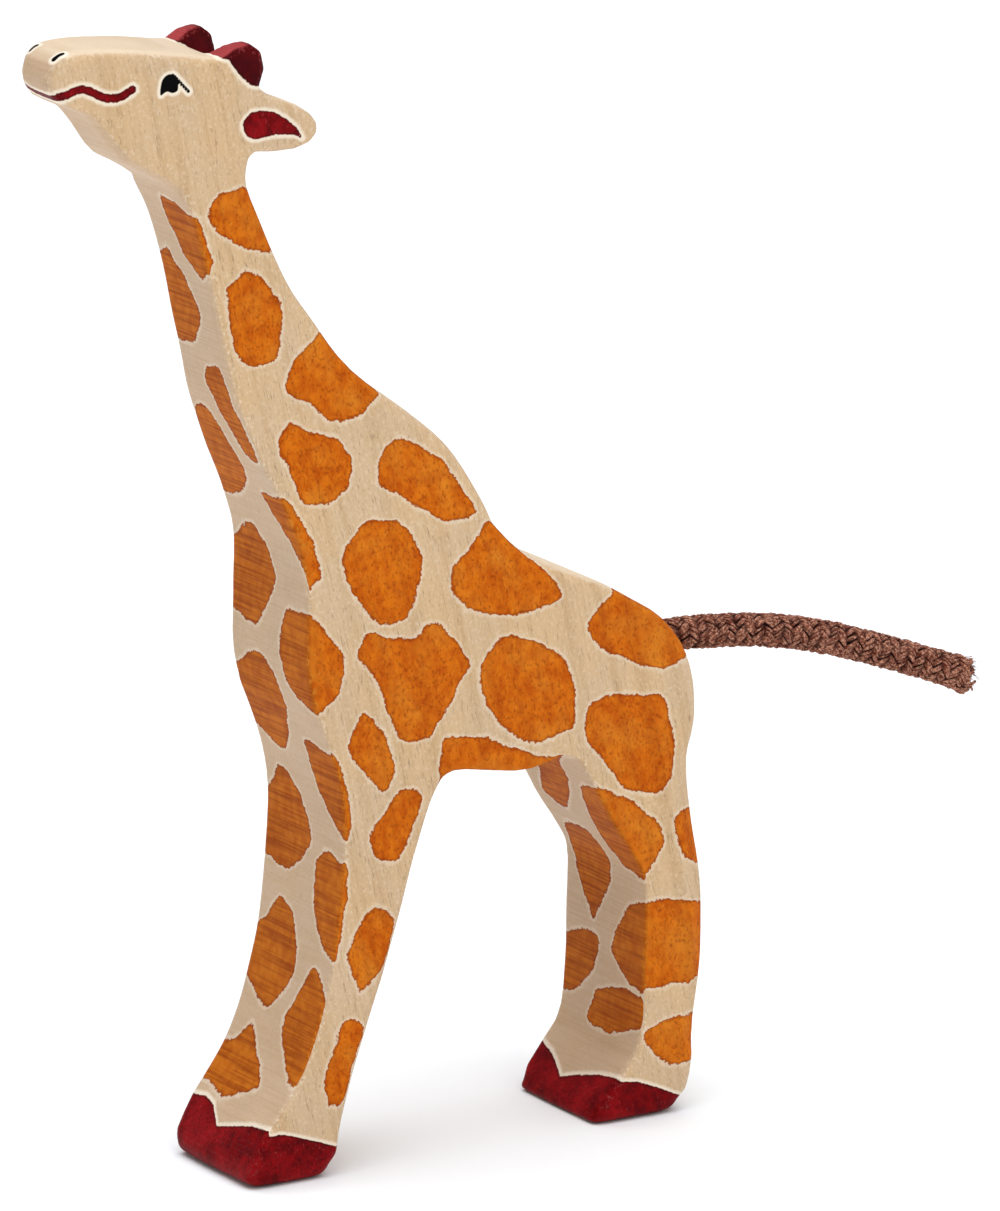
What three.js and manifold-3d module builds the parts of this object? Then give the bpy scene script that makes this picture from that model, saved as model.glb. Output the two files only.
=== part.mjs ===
// A small painted wooden giraffe, sawn and carved from one block, with a braided cord for a tail.
// Millimetres, +Z up. The giraffe looks along -X and its tail points along +X.
// The origin is on the ground, under the middle of the wood. The drawings below measure X from a
// line through the belly, and the finished pieces are moved to the origin.
import * as THREE from 'three';
import { mergeVertices } from 'three/addons/utils/BufferGeometryUtils.js';
import Module from 'manifold-3d';

const wasm = await Module();
wasm.setup();

// Driving dimensions
const figureHeight = 170; // from the soles to the top of the head
const blockThickness = 22.8; // the plank that the figure is sawn from
const cordDiameter = 5; // the tail's braid
const cordFreeLength = 57; // from the rump to the cut end
const boreDepth = 12; // the hole that the tail is glued into
const boreClearance = 0.3; // all round the cord, in the bore
const bendStandOff = 1.2; // from the rump to where the cord bends, so that it clears the bore's lip
const glueThickness = 1.2; // the spot of glue at the bottom of the bore
const fitGap = 0.3; // between pieces that touch
const notchHalfWidth = 3.9; // half the saw cut between the ears and between the horns
const roundingSteps = 2; // facets across each rounded edge
const profileSpacing = 2.4; // between the profile's points, along its curves
const cordSides = 12;

// All lengths below are for a figure 169.6 mm tall on a plank 22.8 mm thick
const tall = figureHeight / 169.6;
const thick = blockThickness / 22.8;

// The profile, seen from the giraffe's left, as curves that meet at corners.
// Each has the radius of its rounded edges, in front of and behind the profile.
const profile = [
  { name: 'frontToe', rounding: 0.7, points: [[-48.2, 0], [-49.6, 1.3]] },
  { name: 'frontHoof', rounding: 0.7, points: [[-49.6, 1.3], [-48.2, 4.8], [-46.2, 8.4]] },
  {
    name: 'frontOfLeg',
    rounding: 0.7,
    points: [[-46.2, 8.4], [-42.8, 12.8], [-39.6, 18], [-36.6, 26], [-34.4, 36], [-33.3, 46], [-33, 54],
      [-34.4, 61.5], [-37.6, 69.6]],
  },
  {
    name: 'chestAndThroat',
    rounding: 0.8,
    points: [[-37.6, 69.6], [-38.8, 77], [-38.9, 91], [-41.2, 99.5], [-45.4, 108.5], [-48.3, 116.5],
      [-50.3, 125], [-52.5, 135.5], [-54.7, 143], [-57.4, 148.2]],
  },
  {
    name: 'jaw',
    rounding: 2.2,
    points: [[-57.4, 148.2], [-61, 150.6], [-64.8, 152.8], [-67, 155.4], [-68.9, 158], [-70.6, 160.1]],
  },
  { name: 'chin', rounding: 1.2, points: [[-70.6, 160.1], [-72.6, 161], [-74.9, 162.2], [-76.4, 164]] },
  { name: 'nose', rounding: 1.2, points: [[-76.4, 164], [-76.7, 166], [-75.9, 168], [-74.5, 169.2]] },
  {
    name: 'topOfHead',
    rounding: 1.6,
    points: [[-74.5, 169.2], [-72.4, 169.6], [-68, 169.5], [-62.5, 169], [-57, 168.1], [-51.2, 167]],
  },
  {
    name: 'horn',
    rounding: 0.8,
    points: [[-51.2, 167], [-49.6, 167.8], [-47.7, 168.5], [-46, 168.4], [-44.6, 167.4], [-43.8, 165.7],
      [-43.9, 163.8], [-44.6, 161.9]],
  },
  {
    name: 'ear',
    rounding: 1.1,
    points: [[-44.6, 161.9], [-42.8, 160.6], [-40.2, 159.5], [-37.4, 158.1], [-35.5, 156.5], [-34.9, 154.9],
      [-35.7, 153.3], [-38, 152.3], [-41.5, 152.1], [-45.2, 152.5]],
  },
  { name: 'underEar', rounding: 1, points: [[-45.2, 152.5], [-46, 151.8], [-46.2, 150.4]] },
  {
    name: 'nape',
    rounding: 1.4,
    points: [[-46.2, 150.4], [-45.9, 147.2], [-42.7, 140], [-38.9, 132.2], [-34.3, 125.6], [-28.5, 118.4],
      [-18.9, 110.8], [-13.1, 105.2], [-9.3, 98.8], [-7, 94]],
  },
  {
    name: 'backAndRump',
    rounding: 1.6,
    points: [[-7, 94], [-3.6, 90.2], [1, 87.1], [6.6, 84.6], [11.4, 82.3], [16.4, 79.3], [21.4, 75.9],
      [24.9, 71.8], [26.8, 66.8], [27.2, 61], [26.6, 55.5]],
  },
  {
    name: 'backOfHindLeg',
    rounding: 3.2,
    points: [[26.6, 55.5], [26.6, 50.5], [27.4, 45], [28.6, 38.6], [29.2, 31.6], [29.2, 24], [28.4, 16.8],
      [27, 8.4]],
  },
  { name: 'hindHeel', rounding: 1.2, points: [[27, 8.4], [25.7, 2.8], [23.6, 0]] },
  { name: 'hindSole', rounding: 0.6, points: [[23.6, 0], [9, 0]] },
  { name: 'hindToe', rounding: 0.9, points: [[9, 0], [10.6, 2.8], [13.9, 7], [16.2, 9.8]] },
  {
    name: 'frontOfHindLeg',
    rounding: 0.7,
    points: [[16.2, 9.8], [17.5, 13.8], [18.1, 24], [18.2, 35.6], [16.6, 39.8], [13, 45.6], [8.6, 53.4],
      [6.6, 56.6], [3.6, 57.6]],
  },
  { name: 'belly', rounding: 0.9, points: [[3.6, 57.6], [-2, 56.3], [-8, 57], [-14, 58], [-16.4, 57.2]] },
  {
    name: 'backOfFrontLeg',
    rounding: 1.1,
    points: [[-16.4, 57.2], [-18.2, 54], [-20.7, 46.8], [-23.4, 38.4], [-26.6, 28.2], [-29.4, 21],
      [-31.7, 14.2], [-34, 5.8]],
  },
  { name: 'frontHeel', rounding: 0.9, points: [[-34, 5.8], [-34.8, 2], [-36.2, 0]] },
  { name: 'frontSole', rounding: 0.6, points: [[-36.2, 0], [-48.2, 0]] },
];

// Half the wood's thickness: [height, half], then [distance along the head, half]
const neckTaper = [
  [0, 11.4], [84, 11.4], [96, 10.3], [108, 8.6], [120, 7.5], [138, 7.3], [150, 8], [162, 8.6],
];
const headTaper = [[-77, 3.7], [-74.5, 5.1], [-60, 7.8], [-47, 8.6]];
const headStart = 140;

// Lines across the flat sides, from the front of the profile to its back, where the taper changes
const tapers = [
  [[-39.1, 84], [4, 86.2]],
  [[-39.6, 94], [-7, 94]],
  [[-43.2, 103.6], [-13.4, 103.6]],
  [[-47, 112.6], [-23.4, 112.6]],
  [[-50.3, 125], [-35.3, 125]],
  [[-53.4, 138], [-42.3, 138]],
  [[-57.4, 148.2], [-47, 149.6]],
  [[-64.8, 152.8], [-50, 167.8]],
  [[-70.6, 160.1], [-66, 169.8]],
  [[-74.6, 162.6], [-74.4, 169.6]],
];

// The middle of the head and nape, between the two ears and the two horns. The saw cut takes
// away all the wood outside this line, and is this much wider at each of its outer corners.
const notchFloor = [
  [-53.4, 167.9], [-50.6, 166.6], [-47.6, 164.2], [-45.6, 161.4], [-45.6, 157.5], [-46.6, 153.5],
  [-47.6, 149.4],
];
const notchOutside = [
  [-42.5, 149.4, 1],
  [-33, 152, 1.35],
  [-33, 160, 1.35],
  [-41, 162.6, 1.5],
  [-41, 172, 1.9],
  [-51.5, 172, 1.9],
];

// The tail's line from the rump, in the middle of the plank: [along X, height]. It is drawn to
// the cord's free length about its first point.
const tailLine = [[26.6, 69.9], [36, 69.4], [46, 68.1], [56, 65.7], [65, 62.6], [74, 59.2], [81.4, 56.3]];

function along(table, at) {
  if (at <= table[0][0]) return table[0][1];
  for (let i = 1; i < table.length; i += 1) {
    const [from, low] = table[i - 1];
    const [to, high] = table[i];
    if (at <= to) return THREE.MathUtils.mapLinear(at, from, to, low, high);
  }
  return table[table.length - 1][1];
}

function halfThickness(x, z) {
  const neck = along(neckTaper, z / tall);
  const head = z > headStart * tall ? along(headTaper, x / tall) : neck;
  return Math.min(neck, head) * thick;
}

// Points along the whole profile, each with the rounding of its edges
function profilePoints() {
  const points = [];
  for (const section of profile) {
    const corners = section.points.map(([x, z]) => new THREE.Vector2(x * tall, z * tall));
    const curve = new THREE.SplineCurve(corners);
    const steps = corners.length === 2 ? 1 : Math.max(2, Math.round(curve.getLength() / profileSpacing));
    for (let i = 0; i < steps; i += 1) {
      points.push({ at: curve.getPoint(i / steps), rounding: section.rounding * thick });
    }
  }
  return points;
}

// The rounding changes gradually where two sections meet, and the inset follows the profile's own normal
function insetProfile(points) {
  const count = points.length;
  return points.map((point, i) => {
    const before = points[(i + count - 1) % count];
    const after = points[(i + 1) % count];
    const alongIt = after.at.clone().sub(before.at).normalize();
    const rounding = (before.rounding + point.rounding * 2 + after.rounding) / 4;
    return { at: point.at, rounding, inward: new THREE.Vector2(alongIt.y, -alongIt.x) };
  });
}

function nearestTo(outline, [x, z]) {
  const target = new THREE.Vector2(x * tall, z * tall);
  let nearest = 0;
  outline.forEach(({ at }, i) => {
    if (at.distanceTo(target) < outline[nearest].at.distanceTo(target)) nearest = i;
  });
  return nearest;
}

// The outline's point numbers, split into one ring for each stretch between two tapers
function splitAtTapers(outline) {
  const rings = [outline.map((point, i) => i)];
  for (const [front, back] of tapers) {
    const ends = [nearestTo(outline, front), nearestTo(outline, back)];
    const at = rings.findIndex((ring) => ends.every((end) => ring.includes(end)));
    const ring = rings[at];
    const [from, to] = ends.map((end) => ring.indexOf(end)).sort((a, b) => a - b);
    rings.splice(at, 1, ring.slice(from, to + 1), [...ring.slice(to), ...ring.slice(0, from + 1)]);
  }
  return rings;
}

// The whole plank, cut to the profile, tapered and with its edges rounded, as a closed surface
function carvedPlank() {
  const outline = insetProfile(profilePoints());
  const count = outline.length;
  const positions = [];
  const faces = [];

  function addRing(side, turn) {
    const first = positions.length / 3;
    for (const { at, rounding, inward } of outline) {
      const spot = at.clone().addScaledVector(inward, rounding * (1 - Math.cos(turn)));
      const out = halfThickness(spot.x, spot.y) - rounding * (1 - Math.sin(turn));
      positions.push(spot.x, side * out, spot.y);
    }
    return first;
  }

  function joinRings(from, to) {
    for (let i = 0; i < count; i += 1) {
      const next = (i + 1) % count;
      faces.push(from + i, from + next, to + i, to + i, from + next, to + next);
    }
  }

  function addSide(first, flipped) {
    for (const ring of splitAtTapers(outline)) {
      const numbers = ring.map((i) => first + i);
      const corners = numbers.map((n) => new THREE.Vector2(positions[n * 3], positions[n * 3 + 2]));
      for (const [a, b, c] of THREE.ShapeUtils.triangulateShape(corners, [])) {
        faces.push(numbers[a], numbers[flipped ? c : b], numbers[flipped ? b : c]);
      }
    }
  }

  const turns = [];
  for (let i = 0; i <= roundingSteps; i += 1) turns.push((Math.PI / 2) * (i / roundingSteps));
  const nearRings = turns.slice().reverse().map((turn) => addRing(-1, turn));
  const farRings = turns.map((turn) => addRing(1, turn));
  const rings = [...nearRings, ...farRings];
  for (let i = 1; i < rings.length; i += 1) joinRings(rings[i - 1], rings[i]);
  addSide(rings[0], false);
  addSide(rings[rings.length - 1], true);

  const geometry = new THREE.BufferGeometry();
  geometry.setAttribute('position', new THREE.Float32BufferAttribute(positions, 3));
  geometry.setIndex(faces);
  return geometry;
}

// The wood between the two ears and between the two horns
function notchCutter() {
  const corners = [...notchFloor, ...notchOutside].map(([x, z]) => new THREE.Vector2(x * tall, z * tall));
  const half = notchHalfWidth * thick;
  const outline = new THREE.Shape(corners);
  const cutter = new THREE.ExtrudeGeometry(outline, { depth: 2 * half, bevelEnabled: false });
  cutter.rotateX(Math.PI / 2);
  cutter.translate(0, half, 0);
  const position = cutter.getAttribute('position');
  for (const [x, z, widening] of notchOutside) {
    for (let i = 0; i < position.count; i += 1) {
      const isThere = Math.hypot(position.getX(i) - x * tall, position.getZ(i) - z * tall) < 0.01;
      if (isThere) position.setY(i, position.getY(i) * widening);
    }
  }
  return cutter;
}

// Booleans
function toSolid(geometry) {
  const bare = geometry.clone();
  bare.deleteAttribute('normal');
  bare.deleteAttribute('uv');
  const merged = mergeVertices(bare, 1e-4);
  return new wasm.Manifold(new wasm.Mesh({
    numProp: 3,
    vertProperties: new Float32Array(merged.getAttribute('position').array),
    triVerts: new Uint32Array(merged.getIndex().array),
  }));
}

function toGeometry(solid) {
  const mesh = solid.getMesh();
  const geometry = new THREE.BufferGeometry();
  geometry.setAttribute('position', new THREE.BufferAttribute(new Float32Array(mesh.vertProperties), 3));
  geometry.setIndex(new THREE.BufferAttribute(new Uint32Array(mesh.triVerts), 1));
  const flat = geometry.toNonIndexed();
  flat.computeVertexNormals();
  return flat;
}

// The tail's own axis at the rump: lathed pieces are turned from +Y onto it
const drawnTail = tailLine.map(([x, z]) => new THREE.Vector3(x, 0, z));
const tailRoot = drawnTail[0].clone().multiplyScalar(tall);
const tailDirection = drawnTail[1].clone().sub(drawnTail[0]).normalize();

function turnedOnTail(points) {
  const corners = points.map(([radius, height]) => new THREE.Vector2(radius, height));
  const lathe = new THREE.LatheGeometry(corners, 2 * cordSides);
  const upright = new THREE.Vector3(0, 1, 0);
  lathe.applyQuaternion(new THREE.Quaternion().setFromUnitVectors(upright, tailDirection));
  lathe.translate(tailRoot.x, tailRoot.y, tailRoot.z);
  return lathe;
}

const cordRadius = cordDiameter / 2;
const boreRadius = cordRadius + boreClearance;

// The blind bore in the rump, with a softened mouth, carried on past the rump's surface
function boreCutter() {
  return turnedOnTail([
    [0, -boreDepth],
    [boreRadius, -boreDepth],
    [boreRadius, -0.6],
    [boreRadius + 0.7, 0.5],
    [boreRadius + 2.5, 4],
    [0, 4],
  ]);
}

// The spot of glue at the bottom of the bore
function tailGlue() {
  const from = -boreDepth + fitGap;
  const radius = boreRadius - fitGap;
  return turnedOnTail([[0, from], [radius, from], [radius, from + glueThickness], [0, from + glueThickness]]);
}

// The end of the cord that is glued into the bore. It stops short of the ball that the free
// cord turns on.
function seatedCord() {
  const from = -boreDepth + 2 * fitGap + glueThickness;
  const to = bendStandOff - cordRadius - fitGap;
  return turnedOnTail([[0, from], [cordRadius, from], [cordRadius, to], [0, to]]);
}

// The free cord: a tube along the tail's line, with a round end that turns in the bore's mouth
function freeCord() {
  const longer = cordFreeLength / new THREE.CatmullRomCurve3(drawnTail).getLength();
  const bend = tailRoot.clone().addScaledVector(tailDirection, bendStandOff);
  const beyond = drawnTail.slice(1).map((point) => (
    point.clone().sub(drawnTail[0]).multiplyScalar(longer).add(tailRoot)
  ));
  const line = new THREE.CatmullRomCurve3([bend, ...beyond]);
  const rounded = new THREE.Shape();
  rounded.absarc(0, 0, cordRadius, 0, 2 * Math.PI);
  const steps = Math.round(cordFreeLength / (2 * cordDiameter));
  const tube = new THREE.ExtrudeGeometry(rounded, {
    steps,
    bevelEnabled: false,
    extrudePath: line,
    curveSegments: cordSides,
  });
  const ball = new THREE.SphereGeometry(cordRadius, cordSides, cordSides / 2);
  ball.translate(bend.x, bend.y, bend.z);
  return toGeometry(toSolid(tube).add(toSolid(ball)));
}

function carvedBody() {
  return toGeometry(toSolid(carvedPlank()).subtract(toSolid(notchCutter())).subtract(toSolid(boreCutter())));
}

const wood = carvedBody();
wood.computeBoundingBox();
const middleOfWood = (wood.boundingBox.min.x + wood.boundingBox.max.x) / 2;

// Each piece is moved along X, so that the origin is under the middle of the wood
function piece(name, geometry, color, roughness) {
  geometry.translate(-middleOfWood, 0, 0);
  const mesh = new THREE.Mesh(geometry, new THREE.MeshStandardMaterial({ color, roughness, metalness: 0 }));
  mesh.name = name;
  return mesh;
}

const giraffe = new THREE.Group();
giraffe.add(piece('carved_body', wood, '#dcc7a6', 0.62));
giraffe.add(piece('tail_glue', tailGlue(), '#d9c48a', 0.35));
giraffe.add(piece('tail_cord_root', seatedCord(), '#8a6a62', 0.9));
giraffe.add(piece('tail_cord', freeCord(), '#8a6a62', 0.9));

export default giraffe;
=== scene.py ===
# A small painted wooden giraffe with a braided cord for a tail, as it looks.
# Metres, +Z up. The giraffe looks along -X and its tail points along +X.
import math
import random

import bpy
import numpy as np
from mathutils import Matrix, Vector


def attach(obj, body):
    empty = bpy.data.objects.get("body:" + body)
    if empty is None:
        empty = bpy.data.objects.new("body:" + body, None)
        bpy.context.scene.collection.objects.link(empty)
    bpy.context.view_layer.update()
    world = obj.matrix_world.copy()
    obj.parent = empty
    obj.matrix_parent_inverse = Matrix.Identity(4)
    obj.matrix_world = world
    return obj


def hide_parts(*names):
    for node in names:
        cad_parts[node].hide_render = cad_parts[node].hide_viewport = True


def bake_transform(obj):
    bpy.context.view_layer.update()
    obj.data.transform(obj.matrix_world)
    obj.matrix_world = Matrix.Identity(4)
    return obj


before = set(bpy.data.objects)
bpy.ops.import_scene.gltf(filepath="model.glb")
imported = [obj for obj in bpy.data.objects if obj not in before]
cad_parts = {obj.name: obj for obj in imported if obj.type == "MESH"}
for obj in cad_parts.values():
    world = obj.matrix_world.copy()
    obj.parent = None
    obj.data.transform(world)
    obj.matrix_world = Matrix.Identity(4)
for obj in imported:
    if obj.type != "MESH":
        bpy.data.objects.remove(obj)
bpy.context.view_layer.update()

mm = 0.001
fullTurn = 6.28  # in radians, near enough for a random place on a wave
farAway = 99.0  # where each search for a nearest distance starts
random.seed(7)
dice = np.random.default_rng(7)


def linearColour(hexColour):
    parts = [int(hexColour[i : i + 2], 16) / 255 for i in (1, 3, 5)]
    return [p / 12.92 if p <= 0.04045 else ((p + 0.055) / 1.055) ** 2.4 for p in parts] + [1.0]


def addNode(tree, kind, settings=None, links=None):
    node = tree.nodes.new(kind)
    for name, value in (settings or {}).items():
        if isinstance(name, int) or name in node.inputs:
            node.inputs[name].default_value = value
        else:
            setattr(node, name, value)
    for name, source in (links or {}).items():
        tree.links.new(source, node.inputs[name])
    return node


def newMaterial(name):
    material = bpy.data.materials.new(name)
    material.use_nodes = True
    tree = material.node_tree
    tree.nodes.clear()
    shader = addNode(tree, "ShaderNodeBsdfPrincipled")
    addNode(tree, "ShaderNodeOutputMaterial", links={"Surface": shader.outputs[0]})
    return material, tree, shader


def newObject(name, verts, faces, material):
    mesh = bpy.data.meshes.new(name)
    mesh.from_pydata([tuple(v) for v in verts], [], faces)
    mesh.materials.append(material)
    mesh.polygons.foreach_set("use_smooth", [True] * len(mesh.polygons))
    mesh.update()
    obj = bpy.data.objects.new(name, mesh)
    bpy.context.collection.objects.link(obj)
    return obj


def drawPatterns(tree, place, patterns):
    # Noise drawn out to each pattern's size in millimetres and turned with the grain, then cut
    # down to the part that shows
    masks = {}
    for name, look in patterns.items():
        lean = (0, math.radians(look["lean"]), 0)
        sizes = tuple(1 / (size * mm) for size in look["size"])
        turned = addNode(tree, "ShaderNodeMapping", {"Rotation": lean}, {"Vector": place})
        drawn = addNode(tree, "ShaderNodeMapping", {"Scale": sizes}, {"Vector": turned.outputs[0]})
        settings = {"Scale": 1.0, "Detail": look["detail"]}
        noise = addNode(tree, "ShaderNodeTexNoise", settings, {"Vector": drawn.outputs[0]})
        low, high = look["shows"]
        none, full = look.get("between", (0, 1))
        settings = {"From Min": low, "From Max": high, "To Min": none, "To Max": full}
        mask = addNode(tree, "ShaderNodeMapRange", settings, {"Value": noise.outputs["Fac"]})
        masks[name] = mask.outputs[0]
    return masks


def layCoats(tree, ground, coats):
    # Lays each colour over the ones before it, as strongly as its mask and strength say. A
    # colour is a hex value or the output of a node. A colour mix takes its two colours at
    # inputs 6 and 7, and gives the result at output 2
    for mask, strength, shade in coats:
        amount = addNode(tree, "ShaderNodeMath", {"operation": "MULTIPLY", 1: strength}, {0: mask})
        coat = addNode(tree, "ShaderNodeMix", {"data_type": "RGBA"}, {0: amount.outputs[0]})
        for slot, colour in ((6, ground), (7, shade)):
            if isinstance(colour, str):
                coat.inputs[slot].default_value = linearColour(colour)
            else:
                tree.links.new(colour, coat.inputs[slot])
        ground = coat.outputs[2]
    return ground


def smoothStep(low, high, values):
    t = np.clip((values - low) / (high - low), 0, 1)
    return t * t * (3 - 2 * t)


# Camera: a long lens, in front of the giraffe and to its right. The angles are in degrees, the
# lens and sensor in millimetres, and the rest in metres
cameraLook = {
    "azimuth": -31.5,
    "elevation": 15.0,
    "distance": 1.6,
    "lens": 326.0,
    "sensor": 36.0,
    "target": (0.02376, 0.0, 0.07846),
}


def makeCamera():
    a = math.radians(cameraLook["azimuth"])
    e = math.radians(cameraLook["elevation"])
    back = Vector((math.sin(a) * math.cos(e), -math.cos(a) * math.cos(e), math.sin(e)))
    data = bpy.data.cameras.new("camera")
    data.lens = cameraLook["lens"]
    data.sensor_width = cameraLook["sensor"]
    camera = bpy.data.objects.new("camera", data)
    camera.location = Vector(cameraLook["target"]) + back * cameraLook["distance"]
    camera.rotation_euler = (-back).to_track_quat("-Z", "Y").to_euler()
    bpy.context.collection.objects.link(camera)
    bpy.context.scene.camera = camera


makeCamera()
print("camera made")

# The tail: a solid braid of dyed cotton, glued into the rump and cut off plain
tailLook = {
    "diameter": 5.0 * mm,
    "freeLength": 57.0 * mm,
    "seated": 9.5 * mm,  # how far it goes into the wood
    "bottomGap": 0.2 * mm,  # left at the bottom of that
    "joint": 1.0 * mm,  # how deep in the wood the seated stretch meets the free one
    "bend": (2.5, 12),  # how far before and after the hinge the bend spreads, in millimetres
    "carriers": 12,  # strands that wind each way, a multiple of 4
    "yarns": 2,  # side by side in each strand
    "pitch": 20.0 * mm,  # length of one whole turn of a strand
    "yarnRadius": 0.29 * mm,
    "yarnSizes": (0.78, 1.2),  # the thinnest and the thickest yarn, in yarn radii
    "yarnGap": 1.96,  # between the middles of two yarns, in yarn radii
    "yarnFlatness": 0.92,
    "yarnSides": 7,
    "yarnStep": 0.42 * mm,
    "coreGap": 0.35 * mm,  # from the middle of the strands down to the core
    "coreSides": 14,
    "coreSteps": 60,
    "twist": 1.7 * mm,  # one turn of the plies within a yarn
    # How dark the painted shade in the grooves between the plies is
    "plyGrooveShade": 0.55,
    "wave": 0.28 * mm,  # how far strands rise and dip where they cross
    "pinch": 0.1,  # how much thinner it is at the rump
    "pinchLength": 3.0 * mm,
    "flare": 0.13,  # how much thicker it is at the cut end
    "flareLength": 5.0 * mm,
    "frayed": 1.3 * mm,  # length of the loosened ends
    "frayedEnds": (-0.35, 0.65),  # where the yarns are cut off, in frayed lengths
    "frayedSpread": 0.35,
    "frayedTaper": 0.35,
    "slant": 0.8 * mm,  # the cut end is not quite square
    # How far yarns stray, and over which length along the tail
    "strays": {
        "crossing": (0.5, 4.3 * mm),  # from an even step, in radians
        "sway": (0.09, 2.3 * mm),  # round the braid, in radians
        "lumps": (0.049 * mm, 0.83 * mm),  # in and out
        "plies": (0.08, 0.27 * mm),  # of the yarn's radius
    },
}
# Loose fibres that stand off the braid. One in tipShare is at the cut end
fibreLook = {
    "count": 900,
    "tipShare": 4,
    "clear": 1.5 * mm,  # bare at the rump
    "tipZone": (1.5 * mm, 0.2 * mm),  # how far before and past the cut end they start
    "length": (0.5, 1.3),  # in millimetres
    "tipLength": 1.5,  # times as long at the cut end
    "root": 0.45 * mm,  # how deep in the braid they start
    "tipRoot": (0.3, 1.8),  # the same at the cut end, in millimetres
    "lean": 0.9,
    "run": 0.8,
    "arch": 0.42,  # how high they rise, in lengths
    "archTurn": 1.5,
    "radius": 0.028 * mm,
    "sides": 3,
    "steps": 4,
}
# The tail's line out of the rump, along X and up, in millimetres. Only its shape counts:
# tailRoute moves it to the mouth of the bore and brings it to the free length
tailLine = [(26.6, 69.9), (36, 69.4), (46, 68.1), (56, 65.7), (65, 62.6), (74, 59.2), (81.4, 56.3)]
tailMouth = Vector((0.05042, 0, 0.07006))


def curveThrough(points, steps):
    # A smooth open curve through the points, with so many steps from each to the next
    p = np.array(points, float)
    p = np.vstack([2 * p[0] - p[1], p, 2 * p[-1] - p[-2]])
    out = []
    for i in range(1, len(p) - 2):
        a, b, c, d = p[i - 1 : i + 3]
        for k in range(steps):
            t = k / steps
            bend = (c - a) * t + (2 * a - 5 * b + 4 * c - d) * t**2
            bend += (3 * b - a - 3 * c + d) * t**3
            out.append(b + bend / 2)
    out.append(p[-2])
    return np.array(out)


def tailRoute():
    line = curveThrough([(x, 0, z) for x, z in tailLine], 24)
    length = np.linalg.norm(np.diff(line, axis=0), axis=1).sum()
    line = (line - line[0]) * (tailLook["freeLength"] / length) + np.array(tailMouth)
    start = line[1] - line[0]
    start /= np.linalg.norm(start)
    inside = line[0] - start * tailLook["seated"]
    return np.vstack([inside, line])


class Route:
    # A point, two directions across the tail and one along it, at any length along it
    reach = 0.4 * mm  # how far ahead and behind the direction is measured

    def __init__(self, points):
        steps = np.linalg.norm(np.diff(points, axis=0), axis=1)
        self.points = points
        self.lengths = np.concatenate([[0], np.cumsum(steps)]) - tailLook["seated"]

    def spot(self, length):
        return np.array([np.interp(length, self.lengths, self.points[:, i]) for i in range(3)])

    def at(self, length):
        spot = self.spot(length)
        ahead = self.spot(length + self.reach)
        behind = self.spot(length - self.reach)
        along = (ahead - behind) / np.linalg.norm(ahead - behind)
        side = np.array([0.0, 1.0, 0.0])
        return spot, side, np.cross(side, along), along


tailPath = Route(tailRoute())


def sweptTube(centres, radius, sides, verts, faces, thin=1.0, outward=None):
    # A tube through the centres, capped. It is thinner along outward, if that is given
    level = np.array([0.0, 1.0, 0.01])  # tilted a little, so that no tube runs exactly along it
    first = len(verts)
    count = len(centres)
    centres = np.array(centres)
    tangents = np.gradient(centres, axis=0)
    tangents /= np.linalg.norm(tangents, axis=1)[:, None]
    for i in range(count):
        up = outward[i] if outward is not None else level
        up = up - tangents[i] * (up @ tangents[i])
        up /= np.linalg.norm(up)
        across = np.cross(tangents[i], up)
        r = radius[i] if hasattr(radius, "__len__") else radius
        for k in range(sides):
            turn = 2 * math.pi * k / sides
            verts.append(centres[i] + across * math.cos(turn) * r + up * math.sin(turn) * r * thin)
    for i in range(count - 1):
        for k in range(sides):
            a = first + i * sides + k
            b = first + i * sides + (k + 1) % sides
            faces.append((a, b, b + sides, a + sides))
    faces.append(tuple(first + k for k in reversed(range(sides))))
    faces.append(tuple(first + (count - 1) * sides + k for k in range(sides)))


def braidSwell(s, end):
    # Pinched where it comes out of the wood, and loosened where it is cut
    look = tailLook
    pinched = look["pinch"] * math.exp(-max(s, 0.0) / look["pinchLength"])
    loose = look["flare"] * min(1.0, max(0.0, 1 - (end - s) / look["flareLength"])) ** 2
    return 1 - pinched + loose


def stray(name, s, place):
    size, length = tailLook["strays"][name]
    return size * math.sin(s / length + place)


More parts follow.
